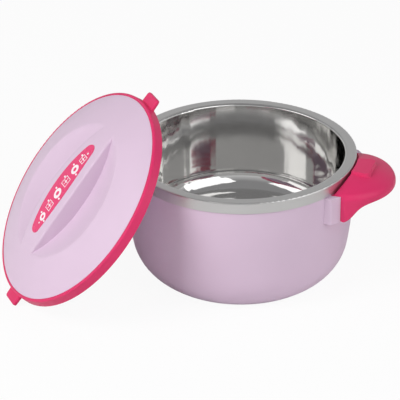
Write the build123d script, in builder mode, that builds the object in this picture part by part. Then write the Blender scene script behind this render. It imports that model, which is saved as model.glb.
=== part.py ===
"""Insulated serving casserole, its lid lifted off and leaned against the left handle.

Millimetres, +Z up.  The origin is the centre of the flat base, on the table.
The two handles lie along X.  The lid is modelled in its own leaning planes.
"""

from build123d import *
import os
from math import atan2, cos, pi, radians, sin, sqrt, tan

# Body: outer moulded shell
rim_radius = 120.0
body_height = 134.0
shell_wall = 2.4
base_inset = 32.0
base_edge_round = 3.0
heel_inset = 10.4
heel_height = 14.8
heel_round = 50.0
shoulder_drop = 51.1
shoulder_blend = 0.585
base_boss_radius = 26.0
foot_width = 10.0
base_recess = 1.5
base_step = 2.0
shell_lip_round = 1.0

# Body: pressed steel bowl
steel = 0.8
band_height = 11.7
band_round = 1.5
rim_width = 12.3
mouth_round = 2.6
bowl_depth = 95.0
bowl_taper = 5.2
bowl_floor_round = 22.0
fit_gap = 0.1

# Body: plug of the filling hole
plug_radius = 12.0
plug_head_radius = 18.0
plug_head = 1.2
plug_length = 4.2

# Ears on the shell that hold a handle by a dovetail
ear_drop = 1.3
ear_height = 29.0
ear_out = 8.6
ear_open_angle = 22.7
ear_root_angle = 25.2
ear_back_out = 5.5
ear_back_angle = 27.7
ear_foot_angle = 29.6
ear_round = 2.0

# Handle
handle_out = 43.2
handle_root = 5.0
handle_half_span = 52.0
crown_drop = 1.8
crown_radius_out = 85.0
crown_radius_across = 130.0
tail_drop = 41.0
tail_out = 4.0
neck_out = 18.0
neck_drop = 26.3
tip_under_drop = 21.6
edge_round = 8.0
rim_gap = 2.0
ear_clearance = 0.2
pad_out = 19.5
pad_root_width = 27.0
pad_tip_width = 35.0
pad_drop = 0.3
pad_slope = 18.0
pad_corner = 5.0
pad_depth = 7.0
under_round = 2.0
tail_slope = 0.6

# Lid: cover
lid_inset = 1.0
ring_band = 4.0
cover_wall = 2.2
dome_height = 21.4
dome_mid_border = 40.5
dome_mid_height = 13.5
dome_edge_slope = 0.43
dish_border = 39.0
dish_floor = 4.0
dish_flat_border = 87.0
dish_mid_border = 58.0
dish_mid_height = 8.2
dish_rim_height = 13.6
dish_rim_slope = 0.35
grip_border = 31.0
grip_half_width = 24.6
grip_end_half_width = 8.8
grip_draft = 8.0
grip_round = 2.2
dish_rim_round = 6.0

# Lid: inlay of the grip
inlay_border = 44.0
inlay_half_width = 14.3
inlay_tip_round = 8.0
inlay_thickness = 1.4
inlay_proud = 0.3

# Lid: ring, tabs and inner liner
ring_height = 10.0
ring_flange = 2.5
ring_flange_width = 11.0
ring_wall = 3.8
ring_gap = 0.2
ring_round = 1.8
ring_taper = 0.9
tab_length = 10.7
tab_root_width = 26.6
tab_tip_width = 25.0
tab_corner = 3.2
tab_top_drop = 5.8
tab_thickness = 2.2
tab_lip = 1.2
tab_lip_wall = 1.8
tab_edge_round = 1.6
liner_wall = 2.0
liner_gap = 0.4
plug_depth = 9.1
liner_round = 5.0

# Lid: how it leans
lid_tilt = 51.4
lean_angle = 216.8
lid_turn = 1.4
lean_offset = 11.1
lean_gap = 0.3

base_radius = rim_radius - base_inset
heel_radius = rim_radius - heel_inset
shell_radius = rim_radius - steel - fit_gap
mouth_radius = rim_radius - rim_width
bowl_floor_radius = mouth_radius - bowl_taper
band_bottom = body_height - band_height
shell_top = body_height - steel - fit_gap
shoulder_height = shell_top - shoulder_drop
wall_rise = shoulder_height - heel_height
wall_lean = atan2(shell_radius - heel_radius, wall_rise)
shoulder_round = shoulder_blend * wall_rise / tan(wall_lean / 2)
bowl_floor = body_height - bowl_depth
ear_top = band_bottom - ear_drop
ear_bottom = ear_top - ear_height
ear_reach = rim_radius + ear_out
ear_back_reach = rim_radius + ear_back_out


def polar(radius: float, angle: float) -> tuple:
    """Point at a radius and an angle in degrees about the body's axis."""
    return (radius * cos(radians(angle)), radius * sin(radians(angle)))


def polar_radius(point: Vector) -> float:
    """Distance of a point from the body's axis."""
    return sqrt(point.X**2 + point.Y**2)


# Body profiles: each line is drawn flat, with the radius first and the height second --------

# Outer face of the shell, from the centre of the base up to its lip
with BuildLine() as shell_line:
    Polyline(
        (0, 0),
        (base_boss_radius, 0),
        (base_boss_radius + base_step, base_recess),
        (base_radius - foot_width - base_step, base_recess),
        (base_radius - foot_width, 0),
        (base_radius, 0),
        (heel_radius, heel_height),
        (shell_radius, shoulder_height),
        (shell_radius, shell_top),
    )
    heel_corner = Vertex(heel_radius, heel_height, 0)
    shoulder_corner = Vertex(shell_radius, shoulder_height, 0)
    fillet(shell_line.vertices().sort_by_distance(Vertex(base_radius, 0, 0))[0], base_edge_round)
    fillet(shell_line.vertices().sort_by_distance(heel_corner)[0], heel_round)
    fillet(shell_line.vertices().sort_by_distance(shoulder_corner)[0], shoulder_round)

with BuildSketch(Plane.XZ) as shell_profile:
    with BuildLine():
        add(shell_line.line)
        offset(amount=shell_wall, side=Side.LEFT)
    make_face()

# Face of the steel that shows, from the band's foot over the rim and down into the bowl
with BuildLine() as bowl_line:
    Polyline(
        (rim_radius, band_bottom),
        (rim_radius, body_height),
        (mouth_radius, body_height),
        (bowl_floor_radius, bowl_floor),
        (0, bowl_floor),
    )
    rim_corner = Vertex(rim_radius, body_height, 0)
    mouth_corner = Vertex(mouth_radius, body_height, 0)
    floor_corner = Vertex(bowl_floor_radius, bowl_floor, 0)
    fillet(bowl_line.vertices().sort_by_distance(rim_corner)[0], band_round)
    fillet(bowl_line.vertices().sort_by_distance(mouth_corner)[0], mouth_round)
    fillet(bowl_line.vertices().sort_by_distance(floor_corner)[0], bowl_floor_round)

with BuildSketch(Plane.XZ) as bowl_profile:
    with BuildLine():
        add(bowl_line.line)
        offset(amount=steel, side=Side.LEFT)
    make_face()

# What the foam fills: all that lies inside the shell and outside the steel
with BuildSketch(Plane.XZ) as foam_profile:
    with BuildLine():
        add(shell_line.line)
        Line((shell_radius, shell_top), (0, shell_top))
        Line((0, shell_top), (0, 0))
    make_face()
    add(shell_profile.sketch, mode=Mode.SUBTRACT)
    with BuildLine():
        add(bowl_line.line)
        Polyline(
            (0, bowl_floor),
            (0, body_height + band_height),
            (rim_radius + band_height, body_height + band_height),
            (rim_radius + band_height, band_bottom),
            (rim_radius, band_bottom),
        )
    make_face(mode=Mode.SUBTRACT)
    add(bowl_profile.sketch, mode=Mode.SUBTRACT)

# Outer shell, with its four ears -----------------------------------------------------------

os.makedirs("parts", exist_ok=True)

with BuildPart() as outer_shell:
    add(shell_profile.sketch)
    revolve(axis=Axis.Z)
    lip = outer_shell.edges().group_by(Axis.Z)[-1].sort_by(SortBy.RADIUS)[-1]
    fillet(lip, shell_lip_round)
    with BuildSketch(Plane.XY.offset(ear_bottom)) as ears:
        for handle_side in (0, 180):
            for side in (1, -1):
                with BuildLine():
                    Polyline(
                        polar(shell_radius - shell_wall / 2, handle_side + side * ear_root_angle),
                        polar(ear_reach, handle_side + side * ear_open_angle),
                        polar(ear_back_reach, handle_side + side * ear_back_angle),
                        polar(shell_radius - shell_wall / 2, handle_side + side * ear_foot_angle),
                        close=True,
                    )
                make_face()
    extrude(amount=ear_height)
    ear_backs = outer_shell.edges().filter_by(Axis.Z).filter_by(
        lambda edge: abs(polar_radius(edge.center()) - ear_back_reach) < fit_gap
    )
    fillet(ear_backs, ear_round)
    with BuildSketch(Plane.XY) as filling_hole:
        Circle(plug_radius)
    extrude(amount=base_recess + 2 * shell_wall, mode=Mode.SUBTRACT)
    with BuildSketch(Plane.XY) as plug_seat:
        Circle(plug_head_radius)
    extrude(amount=plug_head, mode=Mode.SUBTRACT)
outer_shell.part.label = "outer_shell"
export_step(outer_shell.part, "parts/outer_shell.step")

with BuildPart() as inner_bowl:
    add(bowl_profile.sketch)
    revolve(axis=Axis.Z)
inner_bowl.part.label = "inner_bowl"
export_step(inner_bowl.part, "parts/inner_bowl.step")

with BuildPart() as filling_plug:
    with BuildSketch(Plane.XY):
        Circle(plug_head_radius - fit_gap)
    extrude(amount=plug_head)
    with BuildSketch(Plane.XY):
        Circle(plug_radius - fit_gap)
    extrude(amount=plug_length)
    chamfer(filling_plug.edges().group_by(Axis.Z)[-1], plug_head / 2)
filling_plug.part.label = "filling_plug"
export_step(filling_plug.part, "parts/filling_plug.step")

with BuildPart() as body_foam:
    add(foam_profile.sketch)
    revolve(axis=Axis.Z)
    with BuildSketch(Plane.XY):
        Circle(plug_radius)
    extrude(amount=plug_length, mode=Mode.SUBTRACT)
body_foam.part.label = "body_foam"
export_step(body_foam.part, "parts/body_foam.step")

# Handles -----------------------------------------------------------------------------------

handle_centre = rim_radius - handle_root
handle_reach = rim_radius + handle_out
tail_reach = rim_radius + tail_out
neck_reach = rim_radius + neck_out
pad_reach = rim_radius + pad_out
pad_top = body_height - pad_drop
crown_top = body_height - crown_drop
crown_axis_height = crown_top - crown_radius_across
handle_bottom = body_height - tail_drop
tip_under = body_height - tip_under_drop
beyond_tip = handle_reach + edge_round

with BuildPart() as handle_right:
    # Plan: half an ellipse, carried straight back to the shell
    with BuildSketch(Plane.XY.offset(handle_bottom)):
        with Locations((handle_centre, 0)):
            Ellipse(handle_reach - handle_centre, handle_half_span)
        with Locations((handle_centre / 2, 0)):
            Rectangle(handle_centre, 2 * handle_half_span)
    extrude(amount=tail_drop)
    # Top: an arc that runs outwards, turned about a line far below it
    with BuildSketch(Plane.XZ):
        with BuildLine():
            crown = CenterArc((rim_radius, crown_top - crown_radius_out), crown_radius_out, 50, 80)
            Polyline(
                crown @ 0,
                ((crown @ 0).X, crown_axis_height),
                ((crown @ 1).X, crown_axis_height),
                crown @ 1,
            )
        make_face()
    revolve(axis=Axis((0, 0, crown_axis_height), (1, 0, 0)), mode=Mode.INTERSECT)
    wing_edge = handle_right.edges().sort_by(Axis.X)[-2:].sort_by(Axis.Z)[-1]
    fillet(wing_edge, edge_round)
    # Pad that carries the lid's tab, drawn at its top and widening downwards
    with BuildSketch(Plane.XY.offset(pad_top)) as pad_plan:
        with BuildLine():
            Polyline(
                (handle_centre, pad_root_width / 2),
                (pad_reach, pad_tip_width / 2),
                (pad_reach, -pad_tip_width / 2),
                (handle_centre, -pad_root_width / 2),
                close=True,
            )
        make_face()
        fillet(pad_plan.vertices().group_by(Axis.X)[-1], pad_corner)
    extrude(amount=-pad_depth, taper=-pad_slope)
    # Underside: one sweeping curve from the tail out to the tip
    with BuildSketch(Plane.XZ):
        with BuildLine():
            under = Spline(
                (tail_reach, handle_bottom),
                (neck_reach, body_height - neck_drop),
                (handle_reach, tip_under),
                tangents=((1, tail_slope), (1, 0)),
            )
            Polyline(
                under @ 1,
                (beyond_tip, tip_under),
                (beyond_tip, body_height),
                (0, body_height),
                (0, handle_bottom),
                under @ 0,
            )
        make_face()
    extrude(amount=2 * handle_half_span, both=True, mode=Mode.INTERSECT)
    # The flanks below the wing stop at the ears
    with BuildSketch(Plane.XY.offset(handle_bottom)):
        for side in (1, -1):
            with BuildLine():
                Polyline(
                    polar(shell_radius - shell_wall, side * ear_root_angle),
                    polar(ear_reach, side * ear_open_angle),
                    polar(2 * handle_reach, side * ear_open_angle),
                    polar(2 * handle_reach, side * 2 * ear_foot_angle),
                    polar(shell_radius - shell_wall, side * 2 * ear_foot_angle),
                    close=True,
                )
            make_face()
        offset(amount=ear_clearance, kind=Kind.INTERSECTION)
    extrude(amount=ear_top + ear_clearance - handle_bottom, mode=Mode.SUBTRACT)
    # Inside: the face that lies on the shell, and the gap beside the steel rim
    with BuildSketch(Plane.XY.offset(handle_bottom)):
        Circle(shell_radius + fit_gap)
    extrude(amount=tail_drop, mode=Mode.SUBTRACT)
    with BuildSketch(Plane.XY.offset(ear_top)):
        Circle(rim_radius + rim_gap)
    extrude(amount=body_height - ear_top, mode=Mode.SUBTRACT)
    under_edges = handle_right.edges().filter_by(
        lambda edge: edge.center().X > neck_reach + edge_round
        and abs(edge.center().Y) > edge_round
        and edge.center().Z < body_height - tip_under_drop + edge_round / 2
    )
    fillet(under_edges, under_round)
handle_right.part.label = "handle_right"
export_step(handle_right.part, "parts/handle_right.step")

with BuildPart() as handle_left:
    mirror(handle_right.part, about=Plane.YZ)
handle_left.part.label = "handle_left"
export_step(handle_left.part, "parts/handle_left.step")

# Lid, in the planes of its leaning pose ----------------------------------------------------

lid_normal = Vector(
    sin(radians(lid_tilt)) * cos(radians(lean_angle)),
    sin(radians(lid_tilt)) * sin(radians(lean_angle)),
    cos(radians(lid_tilt)),
)
up_slope = Vector(
    -cos(radians(lid_tilt)) * cos(radians(lean_angle)),
    -cos(radians(lid_tilt)) * sin(radians(lean_angle)),
    sin(radians(lid_tilt)),
)
slope_across = lid_normal.cross(up_slope)
along = up_slope * cos(radians(lid_turn)) + slope_across * sin(radians(lid_turn))
across = lid_normal.cross(along)
ring_radius = rim_radius - lid_inset
cover_radius = ring_radius - ring_band
dome_mid_radius = cover_radius - dome_mid_border
dish_radius = cover_radius - dish_border
lid_depth = ring_height + plug_depth
ring_inner = cover_radius + ring_gap
tab_reach = ring_radius + tab_length
tab_bottom_drop = tab_top_drop + tab_thickness + tab_lip

# Plan of the two tabs, and how far the lower one reaches down the slope to the table
with BuildSketch() as tab_plan:
    for end in (1, -1):
        with BuildLine():
            Polyline(
                (end * ring_inner, tab_root_width / 2),
                (end * tab_reach, tab_tip_width / 2),
                (end * tab_reach, -tab_tip_width / 2),
                (end * ring_inner, -tab_root_width / 2),
                close=True,
            )
        make_face()
    fillet(tab_plan.vertices().filter_by(lambda point: abs(point.X) > ring_radius), tab_corner)
tab_low = -tab_plan.sketch.rotate(Axis.Z, lid_turn).bounding_box().min.X

# The liner's underside stops just short of the handle that it leans on
leaning_frame = Plane(origin=(0, 0, 0), x_dir=up_slope, z_dir=lid_normal)
handle_support = leaning_frame.to_local_coords(handle_left.part).bounding_box().max.Z
lid_height = tab_low * up_slope.Z + tab_bottom_drop * lid_normal.Z
lid_distance = (handle_support + lid_depth + lean_gap - lid_height * lid_normal.Z) / sin(
    radians(lid_tilt)
)
lid_centre = (
    Vector(cos(radians(lean_angle)), sin(radians(lean_angle)), 0) * lid_distance
    + slope_across * lean_offset
    + Vector(0, 0, lid_height)
)
lid_top = Plane(origin=lid_centre, x_dir=along, z_dir=lid_normal)
lid_section = Plane(origin=lid_centre, x_dir=along, z_dir=across * -1)
lid_axis = Axis(lid_centre, lid_normal)


def dome(rise: float, edge_radius: float, bottom: float) -> Part:
    """Solid under the lid's crown, raised by a small height and cut off at a radius."""
    with BuildPart() as form:
        with BuildSketch(lid_section):
            with BuildLine():
                Spline(
                    (0, dome_height + rise),
                    (dome_mid_radius, dome_mid_height + rise),
                    (cover_radius, rise),
                    tangents=((1, 0), (1, -dome_edge_slope)),
                )
                Polyline(
                    (cover_radius, rise), (cover_radius, bottom), (0, bottom), (0, dome_height + rise)
                )
            make_face()
            with Locations((edge_radius / 2, 0)):
                Rectangle(edge_radius, 4 * dome_height, mode=Mode.INTERSECT)
        revolve(axis=lid_axis)
    return form.part


def lens(half_length: float, half_width: float, end_half_width: float) -> Sketch:
    """Plan with two bowed sides along the grip, and square ends."""
    with BuildSketch() as plan:
        with BuildLine():
            ThreePointArc(
                (-half_length, end_half_width), (0, half_width), (half_length, end_half_width)
            )
            Line((half_length, end_half_width), (half_length, -end_half_width))
            ThreePointArc(
                (half_length, -end_half_width), (0, -half_width), (-half_length, -end_half_width)
            )
            Line((-half_length, -end_half_width), (-half_length, end_half_width))
        make_face()
    return plan.sketch


def inlay_slab(clearance: float) -> Part:
    """Thin leaf with rounded tips that follows the crown, a little proud of it."""
    with BuildPart() as slab:
        with BuildSketch(lid_top) as plan:
            with BuildLine():
                ThreePointArc((-inlay_half_length, 0), (0, inlay_half_width), (inlay_half_length, 0))
                ThreePointArc((inlay_half_length, 0), (0, -inlay_half_width), (-inlay_half_length, 0))
            make_face()
            fillet(plan.vertices(), inlay_tip_round)
            offset(amount=clearance)
        extrude(amount=2 * dome_height)
        add(dome(inlay_proud, cover_radius, 0), mode=Mode.INTERSECT)
        add(dome(inlay_proud - inlay_thickness, cover_radius, -ring_height), mode=Mode.SUBTRACT)
    return slab.part


def dish(inset: float) -> Part:
    """Round hollow that is turned out of the dome, to leave room for the fingers."""
    with BuildPart() as hollow:
        with BuildSketch(lid_section):
            with BuildLine():
                floor = Spline(
                    (0, dish_floor - inset),
                    (cover_radius - dish_flat_border, dish_floor - inset),
                    (cover_radius - dish_mid_border, dish_mid_height - inset),
                    (dish_radius + inset, dish_rim_height - inset),
                    tangents=((1, 0), (1, dish_rim_slope)),
                )
                Polyline(
                    floor @ 1,
                    (dish_radius + inset, 2 * dome_height),
                    (0, 2 * dome_height),
                    floor @ 0,
                )
            make_face()
        revolve(axis=lid_axis)
    return hollow.part


def grip(inset: float, bottom: float) -> Part:
    """Bar left standing across the dish: its top is the dome, its walls lean out downwards."""
    with BuildPart() as bar:
        with BuildSketch(lid_top.offset(dome_height)):
            add(lens(grip_half_length, grip_half_width - inset, grip_end_half_width - inset))
        extrude(amount=bottom - dome_height, taper=-grip_draft)
        add(dome(-inset, cover_radius - inset, bottom), mode=Mode.INTERSECT)
    return bar.part


grip_half_length = cover_radius - grip_border
inlay_half_length = cover_radius - inlay_border
flange_top = -ring_height + ring_flange
liner_top = flange_top + liner_wall
liner_bottom = -ring_height - plug_depth
flange_inner = ring_radius - ring_wall - ring_flange_width
liner_radius = flange_inner - liner_gap

# The grip by itself, with the edges of its top rounded
with BuildPart() as grip_bar:
    add(grip(0, liner_top))
    top_edges = grip_bar.edges().filter_by(
        lambda edge: abs(across.dot(edge.center() - lid_centre)) > grip_half_width - grip_round
        and lid_normal.dot(edge.center() - lid_centre) > dome_mid_height
    )
    fillet(top_edges, grip_round)

# What lies inside the cover
with BuildPart() as lid_core:
    add(dome(-cover_wall, cover_radius - cover_wall, liner_top))
    add(dish(cover_wall), mode=Mode.SUBTRACT)
    add(grip(cover_wall, liner_top))

with BuildPart() as lid_cover:
    add(dome(0, cover_radius, liner_top))
    add(dish(0), mode=Mode.SUBTRACT)
    dish_rim = lid_cover.edges().filter_by(
        lambda edge: abs(edge.length - 2 * pi * dish_radius) < pi * dish_rim_round
    )
    fillet(dish_rim, dish_rim_round)
    add(grip_bar.part)
    add(lid_core.part, mode=Mode.SUBTRACT)
    add(inlay_slab(fit_gap), mode=Mode.SUBTRACT)
lid_cover.part.label = "lid_cover"
export_step(lid_cover.part, "parts/lid_cover.step")

with BuildPart() as lid_inlay:
    add(inlay_slab(0))
lid_inlay.part.label = "lid_inlay"
export_step(lid_inlay.part, "parts/lid_inlay.step")

# Liner: a flange that lies on the ring, and a shallow cup that enters the mouth
with BuildLine() as liner_line:
    Polyline(
        (cover_radius, flange_top),
        (liner_radius, flange_top),
        (liner_radius, liner_bottom),
        (0, liner_bottom),
    )
    cup_corner = Vertex(liner_radius, liner_bottom, 0)
    fillet(liner_line.vertices().sort_by_distance(cup_corner)[0], liner_round)

with BuildPart() as lid_liner:
    with BuildSketch(lid_section):
        with BuildLine():
            add(liner_line.line)
            offset(amount=liner_wall, side=Side.RIGHT)
        make_face()
    revolve(axis=lid_axis)
lid_liner.part.label = "lid_liner"
export_step(lid_liner.part, "parts/lid_liner.step")

# Foam of the lid: fills the cover, and the cup of the liner
with BuildPart() as lid_foam:
    with BuildSketch(lid_section):
        with BuildLine():
            add(liner_line.line)
            Polyline(
                (0, liner_bottom), (0, liner_top), (cover_radius, liner_top), (cover_radius, flange_top)
            )
        make_face()
    revolve(axis=lid_axis)
    add(lid_liner.part, mode=Mode.SUBTRACT)
    add(lid_core.part)
lid_foam.part.label = "lid_foam"
export_step(lid_foam.part, "parts/lid_foam.step")

# Ring around the lid, with its two tabs
with BuildPart() as lid_ring:
    with BuildSketch(lid_section) as ring_profile:
        with BuildLine():
            Polyline(
                (ring_inner, 0),
                (ring_radius - ring_taper, 0),
                (ring_radius, -ring_height),
                (flange_inner, -ring_height),
                (flange_inner, flange_top),
                (ring_inner, flange_top),
                close=True,
            )
        make_face()
        ring_corner = Vertex(ring_radius - ring_taper, 0, 0)
        fillet(ring_profile.vertices().sort_by_distance(ring_corner)[0], ring_round)
    revolve(axis=lid_axis)
    with BuildSketch(lid_top.offset(-tab_bottom_drop)):
        add(tab_plan.sketch)
    extrude(amount=tab_bottom_drop - tab_top_drop)
    tab_top_edges = lid_ring.edges().filter_by(
        lambda edge: (edge.center() - lid_centre).cross(lid_normal).length > ring_radius
        and abs((edge.center() - lid_centre).dot(lid_normal) + tab_top_drop) < fit_gap
    )
    fillet(tab_top_edges, tab_edge_round)
    # Each tab is hollow from below, inside a low lip
    with BuildSketch(lid_top.offset(-tab_bottom_drop)) as hollows:
        for end in (1, -1):
            with BuildLine():
                Polyline(
                    (end * (ring_radius + tab_lip_wall), tab_root_width / 2 - tab_lip_wall),
                    (end * (tab_reach - tab_lip_wall), tab_tip_width / 2 - tab_lip_wall),
                    (end * (tab_reach - tab_lip_wall), tab_lip_wall - tab_tip_width / 2),
                    (end * (ring_radius + tab_lip_wall), tab_lip_wall - tab_root_width / 2),
                    close=True,
                )
            make_face()
        far_corners = hollows.vertices().filter_by(
            lambda point: abs(point.X) > tab_reach - tab_corner
        )
        fillet(far_corners, tab_corner - tab_lip_wall)
    extrude(amount=tab_lip, mode=Mode.SUBTRACT)
lid_ring.part.label = "lid_ring"
export_step(lid_ring.part, "parts/lid_ring.step")
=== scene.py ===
"""Insulated serving casserole: lilac shell, steel bowl, pink handles and a domed lid that leans.

Everything is in metres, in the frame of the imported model: the base's centre is the origin, the
handles lie along X and +Z is up.  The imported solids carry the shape.  This script gives each of
them its finish, prints the ornament on the inlay of the grip, and sets up the studio.
"""

from __future__ import annotations

import logging
import math
from dataclasses import dataclass, field
from enum import Enum

import bpy
from mathutils import Matrix, Vector


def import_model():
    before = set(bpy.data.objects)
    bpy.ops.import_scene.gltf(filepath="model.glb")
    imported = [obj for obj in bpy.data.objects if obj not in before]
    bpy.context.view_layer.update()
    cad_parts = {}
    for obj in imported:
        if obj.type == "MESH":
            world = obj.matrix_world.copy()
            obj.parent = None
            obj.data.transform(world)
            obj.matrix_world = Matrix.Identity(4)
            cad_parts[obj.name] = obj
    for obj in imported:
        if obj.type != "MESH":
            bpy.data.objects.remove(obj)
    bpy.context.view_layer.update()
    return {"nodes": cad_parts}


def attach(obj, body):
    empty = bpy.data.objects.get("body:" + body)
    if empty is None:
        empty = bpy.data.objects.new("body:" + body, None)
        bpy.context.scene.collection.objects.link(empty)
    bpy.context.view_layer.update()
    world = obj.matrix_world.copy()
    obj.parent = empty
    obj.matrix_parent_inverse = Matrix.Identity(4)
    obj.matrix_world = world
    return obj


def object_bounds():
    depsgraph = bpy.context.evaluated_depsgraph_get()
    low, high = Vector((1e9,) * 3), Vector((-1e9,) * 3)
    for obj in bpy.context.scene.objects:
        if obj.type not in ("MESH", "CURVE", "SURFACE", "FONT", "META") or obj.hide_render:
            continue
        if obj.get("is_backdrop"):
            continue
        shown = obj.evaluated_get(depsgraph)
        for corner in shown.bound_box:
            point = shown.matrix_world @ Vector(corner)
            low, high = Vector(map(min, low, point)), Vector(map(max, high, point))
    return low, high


LOG = logging.getLogger("casserole")

Colour = tuple[float, float, float]
Place = tuple[float, float, float]
Socket = bpy.types.NodeSocket

SRGB_KNEE = 0.04045
SRGB_SLOPE = 12.92
SRGB_OFFSET = 0.055
SRGB_POWER = 2.4

# Most of a noise pattern lies between these two values
NOISE_LOW = 0.3
NOISE_HIGH = 0.7


def from_srgb(red: int, green: int, blue: int) -> Colour:
    """Turn a colour as it is seen on a screen into the linear colour that a shader takes.

    Args:
        red: Red, from 0 to 255.
        green: Green, from 0 to 255.
        blue: Blue, from 0 to 255.

    Returns:
        The three linear parts, each from 0 to 1.
    """
    parts = []
    for value in (red, green, blue):
        share = value / 255
        if share <= SRGB_KNEE:
            parts.append(share / SRGB_SLOPE)
        else:
            parts.append(((share + SRGB_OFFSET) / (1 + SRGB_OFFSET)) ** SRGB_POWER)
    return (parts[0], parts[1], parts[2])


LILAC = from_srgb(219, 195, 216)
PINK = from_srgb(221, 51, 105)
BRIGHT_PINK = from_srgb(231, 62, 117)
WHITE_INK = from_srgb(250, 238, 243)
STEEL = (0.74, 0.735, 0.725)
FOAM = from_srgb(232, 214, 160)


def scaled(colour: Colour, factor: float) -> Colour:
    """Make a colour lighter or darker by a factor."""
    return (colour[0] * factor, colour[1] * factor, colour[2] * factor)


def direction(heading: float, climb: float) -> Vector:
    """Make the unit vector of a direction.

    Args:
        heading: Angle in the plan, from +X towards +Y.
        climb: Angle above the horizon.

    Returns:
        The unit vector.
    """
    flat = math.cos(climb)
    return Vector((flat * math.cos(heading), flat * math.sin(heading), math.sin(climb)))


def point(owner: bpy.types.Object, look: Vector) -> None:
    """Turn a lamp or a camera, which look along their own -Z, to a direction."""
    owner.rotation_mode = "QUATERNION"
    owner.rotation_quaternion = look.to_track_quat("-Z", "Y")


class NodeBoard:
    """The node tree of one material or of the world, with short ways to add and join nodes."""

    def __init__(self, owner: bpy.types.Material | bpy.types.World) -> None:
        """Empty the tree of its owner.

        Args:
            owner: The material or the world whose nodes are made.
        """
        owner.use_nodes = True
        self.tree = owner.node_tree
        self.tree.nodes.clear()

    def add(self, kind: str, **settings: object) -> bpy.types.Node:
        """Add one node.

        Args:
            kind: The node's class, without its ShaderNode prefix.
            settings: Properties of the node, by name.

        Returns:
            The new node.
        """
        node = self.tree.nodes.new("ShaderNode" + kind)
        for name, value in settings.items():
            setattr(node, name, value)
        return node

    def join(self, start: Socket, end: Socket) -> None:
        """Lead one output into one input."""
        self.tree.links.new(start, end)

    def place(self) -> Socket:
        """Add the place in the piece's own coordinates."""
        return self.add("TexCoord").outputs["Object"]

    def noise(self, scale: float, detail: float) -> Socket:
        """Add a noise pattern on the piece's own coordinates.

        Args:
            scale: How many waves of the noise fit in a metre.
            detail: How many finer layers it has.

        Returns:
            The output that holds the pattern, about 0.5 on average.
        """
        pattern = self.add("TexNoise")
        pattern.inputs["Scale"].default_value = scale
        pattern.inputs["Detail"].default_value = detail
        self.join(self.place(), pattern.inputs["Vector"])
        return pattern.outputs["Fac"]

    def between(self, pattern: Socket, low: float, high: float) -> Socket:
        """Spread a noise pattern over a range of numbers.

        Args:
            pattern: The pattern.
            low: The number where the pattern is low.
            high: The number where it is high.

        Returns:
            The output that holds the number.
        """
        spread = self.add("MapRange")
        spread.inputs["From Min"].default_value = NOISE_LOW
        spread.inputs["From Max"].default_value = NOISE_HIGH
        spread.inputs["To Min"].default_value = low
        spread.inputs["To Max"].default_value = high
        self.join(pattern, spread.inputs["Value"])
        return spread.outputs["Result"]

    def tint(self, pattern: Socket, low: Colour, high: Colour) -> Socket:
        """Mix two colours by a noise pattern.

        Args:
            pattern: The pattern.
            low: The colour where the pattern is low.
            high: The colour where it is high.

        Returns:
            The output that holds the colour.
        """
        ramp = self.add("ValToRGB")
        ramp.color_ramp.elements[0].position = NOISE_LOW
        ramp.color_ramp.elements[0].color = (*low, 1)
        ramp.color_ramp.elements[1].position = NOISE_HIGH
        ramp.color_ramp.elements[1].color = (*high, 1)
        self.join(pattern, ramp.inputs["Fac"])
        return ramp.outputs["Color"]

    def emboss(
        self, shader: bpy.types.Node, height: Socket, strength: float = 1.0, depth: float = 1.0
    ) -> None:
        """Let a pattern of heights turn the normal of a shader.

        Args:
            shader: The shader of the surface.
            height: The output that holds the heights.
            strength: How much of the relief shows, from 0 to 1.
            depth: How many metres a height of 1 stands for.
        """
        bump = self.add("Bump")
        bump.inputs["Strength"].default_value = strength
        bump.inputs["Distance"].default_value = depth
        self.join(height, bump.inputs["Height"])
        self.join(bump.outputs["Normal"], shader.inputs["Normal"])

    def show(self, shader: Socket) -> None:
        """Lead a shader to the surface of the material."""
        self.join(shader, self.add("OutputMaterial").inputs["Surface"])


@dataclass(frozen=True)
class MouldedPlastic:
    """Softly glossy injection-moulded plastic, with a faint skin and a slightly cloudy colour."""

    name: str
    colour: Colour
    roughness: float = 0.38
    roughness_spread: float = 0.03
    patch_scale: float = 54.0
    patch_detail: float = 4.0
    cloud: float = 0.015
    cloud_scale: float = 18.0
    cloud_detail: float = 3.0
    skin_scale: float = 1600.0
    skin_detail: float = 2.0
    skin_strength: float = 0.35
    skin_depth: float = 0.000003
    ior: float = 1.49
    shine: float = 0.3
    coat: float = 0.04
    coat_roughness: float = 0.25

    def build(self) -> bpy.types.Material:
        """Make the material.

        Returns:
            The new material.
        """
        material = bpy.data.materials.new(self.name)
        board = NodeBoard(material)
        shader = board.add("BsdfPrincipled")
        shader.inputs["IOR"].default_value = self.ior
        shader.inputs["Specular IOR Level"].default_value = self.shine
        shader.inputs["Coat Weight"].default_value = self.coat
        shader.inputs["Coat Roughness"].default_value = self.coat_roughness
        clouds = board.noise(self.cloud_scale, self.cloud_detail)
        low = scaled(self.colour, 1 - self.cloud)
        high = scaled(self.colour, 1 + self.cloud)
        board.join(board.tint(clouds, low, high), shader.inputs["Base Color"])
        patches = board.noise(self.patch_scale, self.patch_detail)
        smoothest = self.roughness - self.roughness_spread
        roughest = self.roughness + self.roughness_spread
        gloss = board.between(patches, smoothest, roughest)
        board.join(gloss, shader.inputs["Roughness"])
        skin = board.noise(self.skin_scale, self.skin_detail)
        board.emboss(shader, skin, self.skin_strength, self.skin_depth)
        board.show(shader.outputs["BSDF"])
        return material


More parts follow.
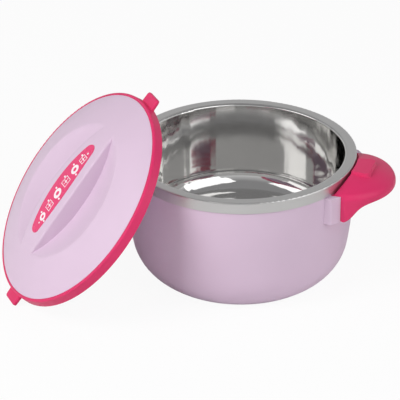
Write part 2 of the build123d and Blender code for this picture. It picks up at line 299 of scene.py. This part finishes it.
@dataclass(frozen=True)
class SpunSteel:
    """Stainless steel: bright and spun inside the bowl, satin on the flange and the band.

    The finish changes between the radii satin_from and satin_all about the bowl's axis, and there
    a painted shade also darkens the colour, standing in for the dimmer reflections on the flange
    and the band.
    """

    name: str
    colour: Colour
    polish: float = 0.08
    satin: float = 0.36
    # Painted shade: factor on the steel's colour on the flange and the band, for their dimmer
    # reflections
    rim_painted_shade: float = 0.9
    satin_from: float = 0.1075
    satin_all: float = 0.1095
    wear: float = 0.02
    wear_scale: float = 104.0
    cloud_tone: float = 0.96
    cloud_scale: float = 26.0
    cloud_detail: float = 5.0
    ring_scale: float = 130.0
    ring_depth: float = 0.000005
    wave_count: float = 5.0
    wave_detail: float = 1.0
    wave_slope: float = 0.009
    pull: float = 0.4
    pull_turn: float = 0.25

    def build(self) -> bpy.types.Material:
        """Make the material.

        Returns:
            The new material.
        """
        material = bpy.data.materials.new(self.name)
        board = NodeBoard(material)
        shader = board.add("BsdfPrincipled")
        shader.inputs["Metallic"].default_value = 1.0
        board.join(self._outwards(board, self.pull, 0), shader.inputs["Anisotropic"])
        shader.inputs["Anisotropic Rotation"].default_value = self.pull_turn
        round_axis = board.add("Tangent", direction_type="RADIAL", axis="Z")
        board.join(round_axis.outputs["Tangent"], shader.inputs["Tangent"])
        board.join(self._tone(board), shader.inputs["Base Color"])
        board.join(self._gloss(board), shader.inputs["Roughness"])
        relief = board.add("Math", operation="MULTIPLY_ADD")
        relief.inputs[1].default_value = self.ring_depth
        board.join(self._rings(board), relief.inputs[0])
        board.join(self._waves(board), relief.inputs[2])
        board.emboss(shader, relief.outputs["Value"])
        board.show(shader.outputs["BSDF"])
        return material

    def _radius(self, board: NodeBoard) -> tuple[Socket, Socket]:
        """Add the distance from the bowl's upright axis.

        Args:
            board: The node tree of the material.

        Returns:
            The outputs that hold the flat place about the axis, and its length.
        """
        flat = board.add("VectorMath", operation="MULTIPLY")
        flat.inputs[1].default_value = (1, 1, 0)
        board.join(board.place(), flat.inputs[0])
        radius = board.add("VectorMath", operation="LENGTH")
        board.join(flat.outputs["Vector"], radius.inputs[0])
        return flat.outputs["Vector"], radius.outputs["Value"]

    def _outwards(self, board: NodeBoard, inside: float, rim: float) -> Socket:
        """Add a number that changes where the bright inside meets the satin flange.

        Args:
            board: The node tree of the material.
            inside: The number inside the bowl.
            rim: The number on the flange and the band.

        Returns:
            The output that holds the number.
        """
        grow = board.add("MapRange", interpolation_type="SMOOTHSTEP")
        grow.inputs["From Min"].default_value = self.satin_from
        grow.inputs["From Max"].default_value = self.satin_all
        grow.inputs["To Min"].default_value = inside
        grow.inputs["To Max"].default_value = rim
        board.join(self._radius(board)[1], grow.inputs["Value"])
        return grow.outputs["Result"]

    def _tone(self, board: NodeBoard) -> Socket:
        """Add the slightly cloudy colour, with a painted shade that darkens it on the flange and
        the band.

        Args:
            board: The node tree of the material.

        Returns:
            The output that holds the colour.
        """
        clouds = board.noise(self.cloud_scale, self.cloud_detail)
        low = scaled(self.colour, self.cloud_tone)
        tone = board.add("VectorMath", operation="SCALE")
        board.join(board.tint(clouds, low, self.colour), tone.inputs[0])
        board.join(self._outwards(board, 1, self.rim_painted_shade), tone.inputs["Scale"])
        return tone.outputs["Vector"]

    def _gloss(self, board: NodeBoard) -> Socket:
        """Add the roughness, which grows from the bright inside to the satin flange.

        Args:
            board: The node tree of the material.

        Returns:
            The output that holds the roughness.
        """
        scuffs = board.noise(self.wear_scale, self.cloud_detail)
        total = board.add("Math", operation="ADD")
        board.join(self._outwards(board, self.polish, self.satin), total.inputs[0])
        board.join(board.between(scuffs, -self.wear, self.wear), total.inputs[1])
        return total.outputs["Value"]

    def _rings(self, board: NodeBoard) -> Socket:
        """Add the fine rings that spinning leaves about the bowl's upright axis.

        Args:
            board: The node tree of the material.

        Returns:
            The output that holds the rings' height.
        """
        rings = board.add("TexWave", wave_type="RINGS", rings_direction="Z")
        rings.inputs["Scale"].default_value = self.ring_scale
        board.join(board.place(), rings.inputs["Vector"])
        return rings.outputs["Fac"]

    def _waves(self, board: NodeBoard) -> Socket:
        """Add the shallow upright waves that drawing the sheet leaves in the bowl's wall.

        Args:
            board: The node tree of the material.

        Returns:
            The output that holds the waves' height in metres.
        """
        flat, radius = self._radius(board)
        ray = board.add("VectorMath", operation="NORMALIZE")
        board.join(flat, ray.inputs[0])
        waves = board.add("TexNoise")
        waves.inputs["Scale"].default_value = self.wave_count
        waves.inputs["Detail"].default_value = self.wave_detail
        board.join(ray.outputs["Vector"], waves.inputs["Vector"])
        slope = board.add("Math", operation="MULTIPLY")
        board.join(waves.outputs["Fac"], slope.inputs[0])
        board.join(self._outwards(board, self.wave_slope, 0), slope.inputs[1])
        height = board.add("Math", operation="MULTIPLY")
        board.join(slope.outputs["Value"], height.inputs[0])
        board.join(radius, height.inputs[1])
        return height.outputs["Value"]


@dataclass(frozen=True)
class RigidFoam:
    """Pale rigid foam with open cells, seen only where the skins are taken away."""

    name: str
    colour: Colour
    roughness: float = 0.9
    cloud_tone: float = 0.92
    cloud_scale: float = 40.0
    cloud_detail: float = 4.0
    cell_scale: float = 700.0
    cell_strength: float = 0.6
    cell_depth: float = 0.0003

    def build(self) -> bpy.types.Material:
        """Make the material.

        Returns:
            The new material.
        """
        material = bpy.data.materials.new(self.name)
        board = NodeBoard(material)
        shader = board.add("BsdfPrincipled")
        shader.inputs["Roughness"].default_value = self.roughness
        clouds = board.noise(self.cloud_scale, self.cloud_detail)
        low = scaled(self.colour, self.cloud_tone)
        board.join(board.tint(clouds, low, self.colour), shader.inputs["Base Color"])
        cells = board.add("TexVoronoi")
        cells.inputs["Scale"].default_value = self.cell_scale
        board.join(board.place(), cells.inputs["Vector"])
        board.emboss(shader, cells.outputs["Distance"], self.cell_strength, self.cell_depth)
        board.show(shader.outputs["BSDF"])
        return material


class Motif(Enum):
    """The kinds of figure that the ornament repeats."""

    FLOWER = "flower"
    TILE = "tile"
    DOT = "dot"


@dataclass
class LidPlane:
    """The plane of the lid's crown: along the grip, across it, and outwards."""

    tilt: float = math.radians(51.4)
    heading: float = math.radians(216.8)
    turn: float = math.radians(1.4)
    inlay_node: str = "lid_inlay"

    def matrix(self) -> Matrix:
        """Place of the inlay's middle, with its X along the grip and its Z outwards.

        Returns:
            The matrix from the plane's own coordinates to the frame's.
        """
        normal = direction(self.heading, math.pi / 2 - self.tilt)
        uphill = -direction(self.heading, -self.tilt)
        along = uphill * math.cos(self.turn) + normal.cross(uphill) * math.sin(self.turn)
        across = normal.cross(along)
        mesh = bpy.data.objects[self.inlay_node].data
        area = sum(face.area for face in mesh.polygons)
        middle = Vector((0, 0, 0))
        for face in mesh.polygons:
            middle += face.center * (face.area / area)
        turned = Matrix((along, across, normal)).transposed().to_4x4()
        return Matrix.Translation(middle) @ turned


@dataclass(frozen=True)
class Figure:
    """One figure of the ornament: its kind, its place along the grip and its half width."""

    motif: Motif
    along: float
    reach: float


@dataclass
class InlayOrnament:
    """White print on the grip's inlay: flowers and tiles by turns, with a dot at each end.

    It is drawn flat above the inlay, and then pressed onto it.  The shares are parts of a
    figure's half width.
    """

    plane: LidPlane
    ink: bpy.types.Material
    name: str = "inlay_ornament"
    figures: tuple[Figure, ...] = (
        Figure(Motif.DOT, -0.0430, 0.0010),
        Figure(Motif.FLOWER, -0.0355, 0.0047),
        Figure(Motif.TILE, -0.0216, 0.0050),
        Figure(Motif.FLOWER, -0.0065, 0.0059),
        Figure(Motif.TILE, 0.0086, 0.0052),
        Figure(Motif.FLOWER, 0.0240, 0.0055),
        Figure(Motif.TILE, 0.0376, 0.0045),
        Figure(Motif.DOT, 0.0452, 0.0013),
    )
    row_shift: float = -0.0027
    ring_corners: int = 32
    dot_corners: int = 16
    dash_corners: int = 8
    tile_corners: int = 4
    hole_share: float = 0.44
    tile_dot_share: float = 0.3
    tile_dash_share: float = 0.58
    petal: tuple[float, float] = (0.0011, 0.0017)
    petal_reach: float = 1.45
    petal_angle: float = math.radians(72)
    line: float = 0.0007
    ink_height: float = 0.00012
    ink_gap: float = 0.00003
    lift: float = 0.004
    pieces: list[bpy.types.Object] = field(default_factory=list)

    def build(self) -> bpy.types.Object:
        """Make the whole print as one mesh that lies on the inlay.

        Returns:
            The finished print.
        """
        drawing = {Motif.FLOWER: self._flower, Motif.TILE: self._tile, Motif.DOT: self._dot}
        for figure in self.figures:
            drawing[figure.motif](figure)
        bpy.ops.object.select_all(action="DESELECT")
        for piece in self.pieces:
            piece.select_set(True)
        bpy.context.view_layer.objects.active = self.pieces[0]
        bpy.ops.object.join()
        print_mesh = bpy.context.view_layer.objects.active
        print_mesh.name = self.name
        print_mesh.matrix_world = self.plane.matrix()
        bpy.ops.object.transform_apply(location=True, rotation=True, scale=True)
        self._lay_down(print_mesh)
        print_mesh.data.materials.clear()
        print_mesh.data.materials.append(self.ink)
        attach(print_mesh, "lid")
        return print_mesh

    def _flower(self, figure: Figure) -> None:
        """Draw a thick ring with a petal above and one below.

        Args:
            figure: The flower's place and half width.
        """
        self._shape(figure.along, 0, self.ring_corners, figure.reach)
        self._hollow(figure.reach * (1 - self.hole_share))
        self._petal(figure, 1)
        self._petal(figure, -1)

    def _tile(self, figure: Figure) -> None:
        """Draw a square frame round a dot and four dashes, with a petal above.

        Args:
            figure: The tile's place and half width.
        """
        self._shape(figure.along, 0, self.tile_corners, figure.reach * math.sqrt(2))
        self._hollow(self.line)
        self._shape(figure.along, 0, self.dot_corners, figure.reach * self.tile_dot_share)
        dash_reach = figure.reach * self.tile_dash_share
        for side in range(self.tile_corners):
            angle = side * math.tau / self.tile_corners
            along = figure.along + math.cos(angle) * dash_reach
            across = math.sin(angle) * dash_reach
            self._shape(along, across, self.dash_corners, self.line)
        self._petal(figure, 1)

    def _dot(self, figure: Figure) -> None:
        """Draw one round dot."""
        self._shape(figure.along, 0, self.dot_corners, figure.reach)

    def _petal(self, figure: Figure, side: int) -> None:
        """Draw a petal outside a figure.

        Args:
            figure: The figure that the petal belongs to.
            side: 1 for the upper petal and -1 for the lower one.
        """
        reach = figure.reach * self.petal_reach * side
        along = figure.along + math.cos(self.petal_angle) * reach
        across = math.sin(self.petal_angle) * reach
        self._shape(along, across, self.dot_corners, 1.0, (*self.petal, 1))

    def _shape(
        self, along: float, across: float, corners: int, radius: float, stretch: Place = (1, 1, 1)
    ) -> None:
        """Draw one filled regular shape, flat over the inlay's middle.

        Args:
            along: Place of its middle along the grip.
            across: Place of its middle across the grip.
            corners: How many corners it has.
            radius: Radius of its corners.
            stretch: Factors on its own size along, across and up.
        """
        bpy.ops.object.select_all(action="DESELECT")
        bpy.ops.mesh.primitive_circle_add(
            vertices=corners,
            radius=radius,
            fill_type="NGON",
            location=(along, across + self.row_shift, self.lift),
            rotation=(0, 0, math.pi / corners),
        )
        shape = bpy.context.active_object
        shape.scale = stretch
        bpy.ops.object.transform_apply(location=True, rotation=True, scale=True)
        self.pieces.append(shape)

    def _hollow(self, width: float) -> None:
        """Leave only a band along the outline of the shape that was drawn last.

        Args:
            width: Width of the band.
        """
        bpy.ops.object.mode_set(mode="EDIT")
        bpy.ops.mesh.select_all(action="SELECT")
        bpy.ops.mesh.inset(thickness=width)
        bpy.ops.mesh.delete(type="FACE")
        bpy.ops.object.mode_set(mode="OBJECT")

    def _lay_down(self, print_mesh: bpy.types.Object) -> None:
        """Press the flat print onto the crowned inlay and give it its thickness.

        Args:
            print_mesh: The print, flat over the inlay.
        """
        press = print_mesh.modifiers.new("press", "SHRINKWRAP")
        press.target = bpy.data.objects[self.plane.inlay_node]
        press.wrap_method = "NEAREST_SURFACEPOINT"
        press.wrap_mode = "ABOVE_SURFACE"
        press.offset = self.ink_gap
        bpy.ops.object.modifier_apply(modifier="press")
        body = print_mesh.modifiers.new("body", "SOLIDIFY")
        body.thickness = self.ink_height
        body.offset = 1
        bpy.ops.object.modifier_apply(modifier="body")


def dress(piece: bpy.types.Object, material: bpy.types.Material) -> None:
    """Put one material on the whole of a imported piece.

    Args:
        piece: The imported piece.
        material: Its only material.
    """
    piece.data.materials.clear()
    piece.data.materials.append(material)
    LOG.info("%s wears %s", piece.name, material.name)


@dataclass
class Casserole:
    """The body: shell, steel bowl, foam, plug and handles."""

    shell: MouldedPlastic = MouldedPlastic("lilac_shell", LILAC)
    handles: MouldedPlastic = MouldedPlastic("pink_handle", PINK, roughness=0.4)
    bowl: SpunSteel = SpunSteel("spun_steel", STEEL)
    foam: RigidFoam = RigidFoam("rigid_foam", FOAM)

    def build(self, nodes: dict[str, bpy.types.Object]) -> None:
        """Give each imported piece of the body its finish.

        Args:
            nodes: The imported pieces, by name.
        """
        lilac = self.shell.build()
        pink = self.handles.build()
        dress(nodes["outer_shell"], lilac)
        dress(nodes["filling_plug"], lilac)
        dress(nodes["inner_bowl"], self.bowl.build())
        dress(nodes["handle_right"], pink)
        dress(nodes["handle_left"], pink)
        dress(nodes["body_foam"], self.foam.build())


@dataclass
class Lid:
    """The lid: cover, inlay, ring, liner and foam, and the print on the inlay."""

    cover: MouldedPlastic = MouldedPlastic("lilac_cover", LILAC, roughness=0.36)
    trim: MouldedPlastic = MouldedPlastic("pink_trim", PINK)
    inlay: MouldedPlastic = MouldedPlastic("pink_inlay", BRIGHT_PINK, roughness=0.27, coat=0.3)
    ink: MouldedPlastic = MouldedPlastic("white_ink", WHITE_INK, roughness=0.4, coat=0.0)
    foam: RigidFoam = RigidFoam("lid_rigid_foam", FOAM)

    def build(self, nodes: dict[str, bpy.types.Object]) -> None:
        """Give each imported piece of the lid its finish, and print the ornament.

        Args:
            nodes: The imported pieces, by name.
        """
        lilac = self.cover.build()
        dress(nodes["lid_cover"], lilac)
        dress(nodes["lid_liner"], lilac)
        dress(nodes["lid_ring"], self.trim.build())
        dress(nodes["lid_inlay"], self.inlay.build())
        dress(nodes["lid_foam"], self.foam.build())
        ornament = InlayOrnament(LidPlane(), self.ink.build()).build()
        LOG.info("%s has %d faces", ornament.name, len(ornament.data.polygons))


@dataclass
class SoftBox:
    """One rectangular studio lamp that points at the object.

    The bearing is measured from the heading front, the camera's side, and grows to the right.
    All three angles are in degrees.  The glow is the brightness of the lamp's face.
    """

    name: str
    bearing: float
    climb: float
    size: tuple[float, float]
    glow: float
    in_gloss: bool = True
    reach: float = 2.4
    front: float = -74.0
    aim: Place = (0.0, 0.0, 0.08)

    def build(self) -> None:
        """Hang the lamp."""
        data = bpy.data.lights.new(self.name, "AREA")
        data.shape = "RECTANGLE"
        data.size, data.size_y = self.size
        data.energy = math.pi * self.glow * self.size[0] * self.size[1]
        lamp = bpy.data.objects.new(self.name, data)
        lamp.visible_glossy = self.in_gloss
        bpy.context.scene.collection.objects.link(lamp)
        outwards = direction(math.radians(self.front + self.bearing), math.radians(self.climb))
        lamp.location = Vector(self.aim) + outwards * self.reach
        point(lamp, -outwards)
        LOG.info("lamp %s hangs", self.name)


@dataclass
class Studio:
    """Pale floor, white surroundings, soft lamps and the camera.

    The room's colours are those at its foot, at room_height and at zenith_height, which are
    sines of the climb.  Matt surfaces get only matt_share of its light.
    """

    floor_size: float = 30.0
    floor_drop: float = 0.0002
    floor_colour: Colour = (0.82, 0.82, 0.82)
    floor_keep: float = 0.07
    floor_gloss: float = 0.1
    backdrop: Colour = (0.62, 0.62, 0.62)
    room: Colour = (0.58, 0.58, 0.585)
    room_height: float = 0.45
    zenith: Colour = (0.28, 0.28, 0.285)
    zenith_height: float = 0.8
    matt_share: float = 0.57
    view_turn: float = math.radians(16.0)
    view_drop: float = math.radians(27.77)
    camera_place: Place = (0.7223, -2.6715, 1.5323)
    lens: float = 270.0
    sensor: float = 36.0
    view_limit: float = 100.0
    lamps: tuple[SoftBox, ...] = (
        SoftBox("window", 48.0, 42.0, (2.1, 2.0), 1.2),
        SoftBox("left", -72.0, 36.0, (1.5, 1.7), 1.1),
        SoftBox("key", -52.0, 39.0, (1.0, 1.0), 9.6, in_gloss=False),
        SoftBox("fill", 64.0, 24.0, (1.2, 1.0), 2.2, in_gloss=False),
    )

    def build(self) -> None:
        """Build the whole studio."""
        self._floor()
        self._world()
        for lamp in self.lamps:
            lamp.build()
        self._camera()

    def _floor(self) -> None:
        """Lay the floor, which the camera sees as white with a faint shadow."""
        bpy.ops.object.select_all(action="DESELECT")
        bpy.ops.mesh.primitive_plane_add(size=self.floor_size, location=(0, 0, -self.floor_drop))
        floor = bpy.context.active_object
        floor.name = "floor"
        material = bpy.data.materials.new("white_floor")
        board = NodeBoard(material)
        paper = board.add("BsdfDiffuse")
        paper.inputs["Color"].default_value = (*self.floor_colour, 1)
        glow = board.add("Emission")
        keep = board.add("Math", operation="MULTIPLY")
        keep.inputs[1].default_value = 1 - self.floor_keep
        board.join(self._seen(board), keep.inputs[0])
        mix = board.add("MixShader")
        board.join(keep.outputs["Value"], mix.inputs["Fac"])
        board.join(paper.outputs["BSDF"], mix.inputs[1])
        board.join(glow.outputs["Emission"], mix.inputs[2])
        board.show(mix.outputs["Shader"])
        floor.data.materials.append(material)
        floor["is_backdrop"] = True

    def _seen(self, board: NodeBoard) -> Socket:
        """Add how much of the floor's white is shown to a ray.

        Args:
            board: The node tree of the floor's material.

        Returns:
            The output that is 1 for the camera, floor_gloss in a gloss, and 0 otherwise.
        """
        path = board.add("LightPath")
        gloss = board.add("Math", operation="MULTIPLY")
        gloss.inputs[1].default_value = self.floor_gloss
        board.join(path.outputs["Is Glossy Ray"], gloss.inputs[0])
        either = board.add("Math", operation="MAXIMUM")
        board.join(path.outputs["Is Camera Ray"], either.inputs[0])
        board.join(gloss.outputs["Value"], either.inputs[1])
        return either.outputs["Value"]

    def _world(self) -> None:
        """Surround the set with a room that is white to the camera and soft grey as a light."""
        world = bpy.data.worlds.new("studio")
        bpy.context.scene.world = world
        board = NodeBoard(world)
        path = board.add("LightPath")
        strength = board.add("Math", operation="MULTIPLY_ADD")
        strength.inputs[1].default_value = 1 - self.matt_share
        strength.inputs[2].default_value = self.matt_share
        board.join(path.outputs["Is Glossy Ray"], strength.inputs[0])
        light = board.add("Background")
        board.join(self._room(board), light.inputs["Color"])
        board.join(strength.outputs["Value"], light.inputs["Strength"])
        white = board.add("Background")
        mix = board.add("MixShader")
        board.join(path.outputs["Is Camera Ray"], mix.inputs["Fac"])
        board.join(light.outputs["Background"], mix.inputs[1])
        board.join(white.outputs["Background"], mix.inputs[2])
        output = board.add("OutputWorld")
        board.join(mix.outputs["Shader"], output.inputs["Surface"])

    def _room(self, board: NodeBoard) -> Socket:
        """Add the room's colour, which darkens towards the zenith.

        Args:
            board: The node tree of the world.

        Returns:
            The output that holds the colour.
        """
        place = board.add("TexCoord")
        parts = board.add("SeparateXYZ")
        board.join(place.outputs["Generated"], parts.inputs["Vector"])
        ramp = board.add("ValToRGB")
        foot, top = ramp.color_ramp.elements
        foot.color = (*self.backdrop, 1)
        top.position = self.zenith_height
        top.color = (*self.zenith, 1)
        middle = ramp.color_ramp.elements.new(self.room_height)
        middle.color = (*self.room, 1)
        board.join(parts.outputs["Z"], ramp.inputs["Fac"])
        return ramp.outputs["Color"]

    def _camera(self) -> None:
        """Set up the camera with its long lens."""
        data = bpy.data.cameras.new("camera")
        data.lens = self.lens
        data.sensor_width = self.sensor
        data.clip_end = self.view_limit
        camera = bpy.data.objects.new("camera", data)
        bpy.context.scene.collection.objects.link(camera)
        camera.location = self.camera_place
        point(camera, direction(math.pi / 2 + self.view_turn, -self.view_drop))
        bpy.context.scene.camera = camera


def corners() -> list[list[float]]:
    """Lowest and highest corner of what is shown, as plain numbers."""
    return [list(corner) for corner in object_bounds()]


def main() -> None:
    """Build the studio and dress the casserole and its lid."""
    logging.basicConfig(level=logging.INFO)
    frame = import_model()
    bpy.context.scene.view_settings.view_transform = "Standard"
    Studio().build()
    Casserole().build(frame["nodes"])
    Lid().build(frame["nodes"])


if __name__ == "__main__":
    main()
